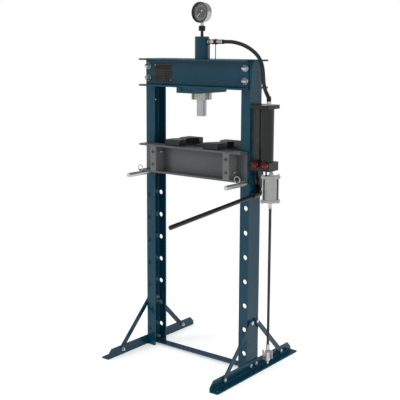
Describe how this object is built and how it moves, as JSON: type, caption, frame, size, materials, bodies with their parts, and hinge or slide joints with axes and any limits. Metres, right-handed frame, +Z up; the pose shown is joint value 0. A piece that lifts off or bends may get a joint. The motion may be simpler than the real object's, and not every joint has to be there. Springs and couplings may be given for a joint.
{
  "type": "shop press",
  "caption": "Free-standing hydraulic shop press with an H frame, height-adjustable bed on pins, arbor plates, gauge, side pump with lever and air motor.",
  "frame": {"origin": "on the floor, under the ram's axis, at the middle of the four floor anchor holes", "axes": "+Z up along the ram's axis, +X towards the pump side, -Y towards the user at the front"},
  "size_m": [0.8075, 0.9905, 1.771],
  "materials": {
    "frame_paint": "satin powder coat, dark teal blue",
    "bed_paint": "satin paint, mid grey",
    "arbor_paint": "satin black paint",
    "zinc": "bright zinc plate",
    "ground_steel": "ground and polished",
    "olive_zinc": "yellow zinc plate",
    "black_steel": "black oxide",
    "pump_paint": "satin black paint",
    "plate_paint": "satin paint, blue grey",
    "spring_steel": "oiled spring steel",
    "chrome_trim": "polished",
    "dial_grey": "matte mid grey",
    "needle_white": "matte white",
    "coupler_plastic": "gloss dark crimson",
    "leash_plastic": "gloss, very dark red",
    "clear_lens": "clear",
    "red_plastic": "gloss dark red",
    "hose_rubber": "satin black",
    "motor_alloy": "matte light grey",
    "valve_alloy": "satin"
  },
  "bodies": {
    "frame": {"column_left": "frame_paint", "column_right": "frame_paint", "beam_front": "frame_paint", "beam_back": "frame_paint", "beam_bolts": "zinc", "beam_cap_nuts": "zinc", "foot_left": "frame_paint", "foot_right": "frame_paint", "braces": "frame_paint", "cross_tie": "frame_paint", "base_bolts": "zinc", "base_nuts": "zinc", "carrier": "frame_paint", "carrier_screws": "zinc", "cylinder_body": "frame_paint", "cylinder_head": "frame_paint", "lock_nut": "olive_zinc", "gauge_adapter": "black_steel", "gauge_case": "chrome_trim", "gauge_bezel": "chrome_trim", "gauge_dial": "dial_grey", "gauge_lens": "clear_lens", "hose_fitting": "zinc", "coupler_ring": "coupler_plastic", "hose_ferrule": "zinc", "hydraulic_hose": "hose_rubber", "pump_hose_fitting": "zinc", "coupler_leash": "leash_plastic", "pump_top_flange": "pump_paint", "pump_back_plate": "plate_paint", "pump_reservoir": "pump_paint", "pump_block": "pump_paint", "pump_clevis": "pump_paint", "lever_pivot_pin": "zinc", "pump_screws": "zinc", "air_cap_top": "motor_alloy", "air_cap_bottom": "motor_alloy", "air_barrel": "motor_alloy", "air_tie_rods": "zinc", "air_neck": "zinc", "air_fitting": "zinc", "air_hose": "hose_rubber", "valve_body": "valve_alloy"},
    "ram": {"ram": "ground_steel", "ram_nose": "ground_steel", "return_spring": "spring_steel"},
    "gauge_needle": {"gauge_needle": "needle_white"},
    "valve_knob_left": {"valve_knob_left": "red_plastic"},
    "valve_knob_right": {"valve_knob_right": "red_plastic"},
    "pump_lever": {"lever_socket": "pump_paint", "lever_bar": "pump_paint"},
    "pump_plunger": {"pump_plunger": "ground_steel"},
    "valve_trigger": {"valve_trigger": "valve_alloy"},
    "bed": {"bed_channel_front": "bed_paint", "bed_channel_back": "bed_paint", "bed_stiffeners": "bed_paint", "bed_tie_bolts": "black_steel", "arbor_plates": "arbor_paint"},
    "bed_pin_left": {"bed_pin_left": "zinc"},
    "bed_pin_right": {"bed_pin_right": "zinc"}
  },
  "joints": [
    {"name": "ram_slide", "type": "slide", "parent": "frame", "child": "ram", "axis": [0, 0, -1], "range_m": [0, 0.15], "stiffness_N_per_m": 2000, "springref_m": -0.05, "deforming": ["return_spring"]},
    {"name": "gauge_needle_turn", "type": "hinge", "parent": "frame", "child": "gauge_needle", "pos_m": [0, -0.0125, 1.721], "axis": [0, 1, 0], "range_deg": [0, 270], "stiffness_Nm_per_rad": 0.002, "springref_deg": -11.46},
    {"name": "left_valve_turn", "type": "hinge", "parent": "frame", "child": "valve_knob_left", "pos_m": [0.354, -0.059, 1.02], "axis": [0, 1, 0], "range_deg": [0, 180]},
    {"name": "right_valve_turn", "type": "hinge", "parent": "frame", "child": "valve_knob_right", "pos_m": [0.4095, -0.059, 1.02], "axis": [0, 1, 0], "range_deg": [0, 180]},
    {"name": "pump_lever_swing", "type": "hinge", "parent": "frame", "child": "pump_lever", "pos_m": [0.335, 0.013, 0.898], "axis": [-1, 0, 0], "range_deg": [0, 50]},
    {"name": "pump_plunger_slide", "type": "slide", "parent": "frame", "child": "pump_plunger", "axis": [0, 0, -1], "range_m": [0, 0.01595]},
    {"name": "trigger_press", "type": "hinge", "parent": "frame", "child": "valve_trigger", "pos_m": [0.39, 0, 0.076], "axis": [0, 1, 0], "range_deg": [0, 12], "stiffness_Nm_per_rad": 0.5, "springref_deg": -11.46},
    {"name": "bed_lift", "type": "slide", "parent": "frame", "child": "bed", "axis": [0, 0, 1], "range_m": [0, 0.1]},
    {"name": "left_pin_pull", "type": "slide", "parent": "frame", "child": "bed_pin_left", "axis": [0, -1, 0], "range_m": [0, 0.12]},
    {"name": "right_pin_pull", "type": "slide", "parent": "frame", "child": "bed_pin_right", "axis": [0, -1, 0], "range_m": [0, 0.12]}
  ],
  "couplings": [
    {"joint": "pump_plunger_slide", "follows": "pump_lever_swing", "m_per_rad": 0.018168}
  ]
}
